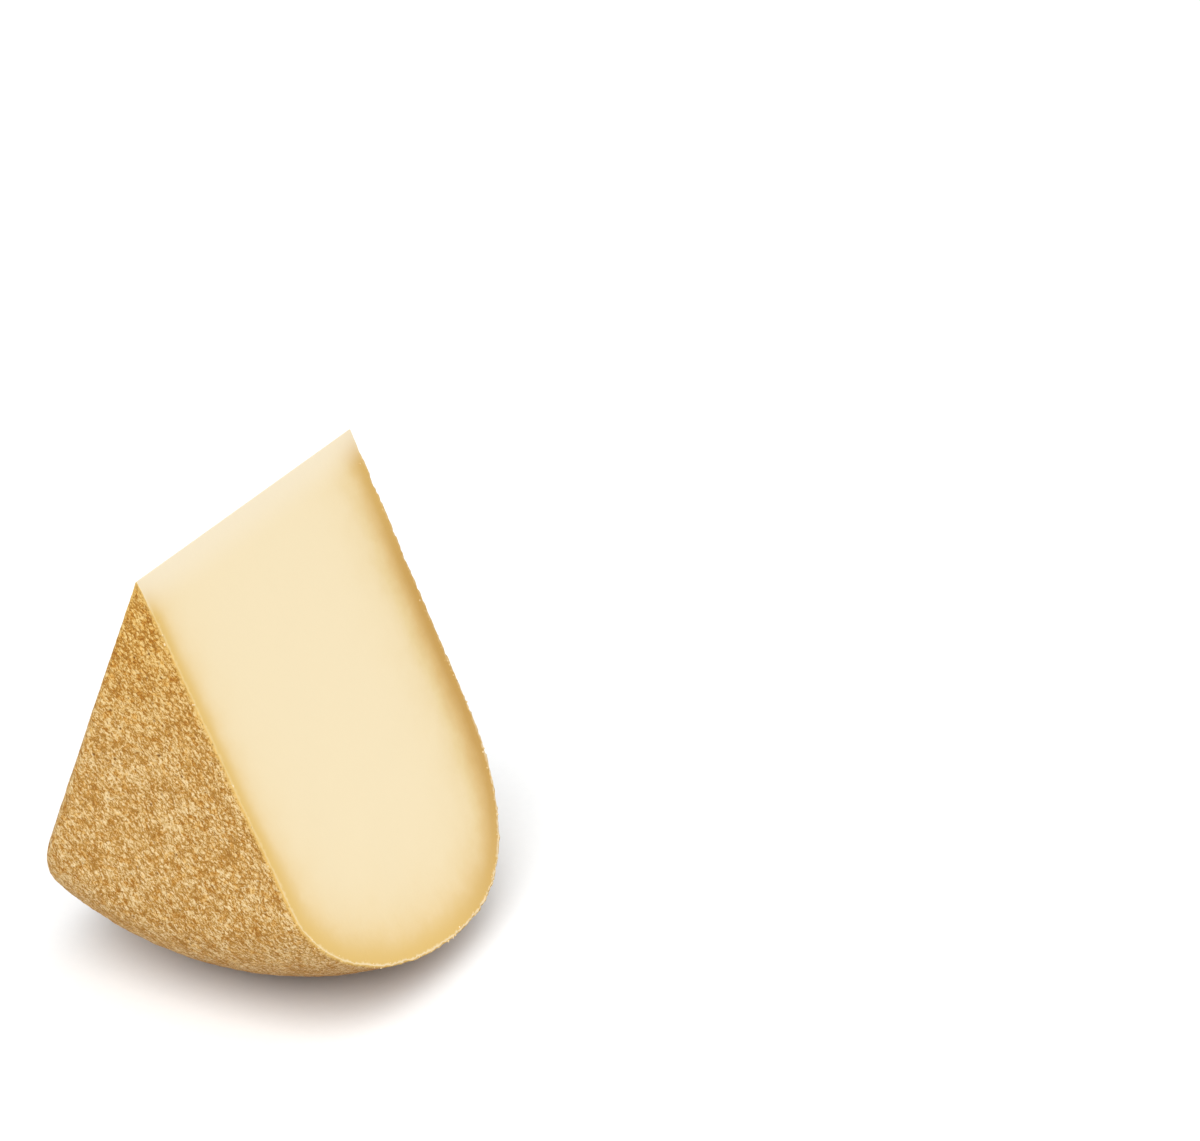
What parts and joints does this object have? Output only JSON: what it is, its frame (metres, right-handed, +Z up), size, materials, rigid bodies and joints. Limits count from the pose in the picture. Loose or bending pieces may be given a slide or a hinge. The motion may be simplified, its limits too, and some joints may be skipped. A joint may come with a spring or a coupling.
{
  "type": "cheese wedge",
  "caption": "Thick wedge of pale pressed cheese cut from a round, with a golden-brown grained rind, standing on its rounded heel.",
  "frame": {"origin": "middle of the wedge's outline, on the surface it stands on", "axes": "+Z up; +Y along the thin edge on top, from the front rind face to the back one; +X towards the side of the first cut"},
  "size_m": [0.105, 0.096, 0.1313],
  "materials": {
    "paste": "ivory cut cheese paste, satin and faintly waxy, deepening to straw and tan under the rind",
    "rind": "dry natural rind, golden ochre with a cream scaly grain, browner blotches and small dark pits"
  },
  "bodies": {
    "root": {"cheese_wedge": "paste"}
  },
  "joints": []
}
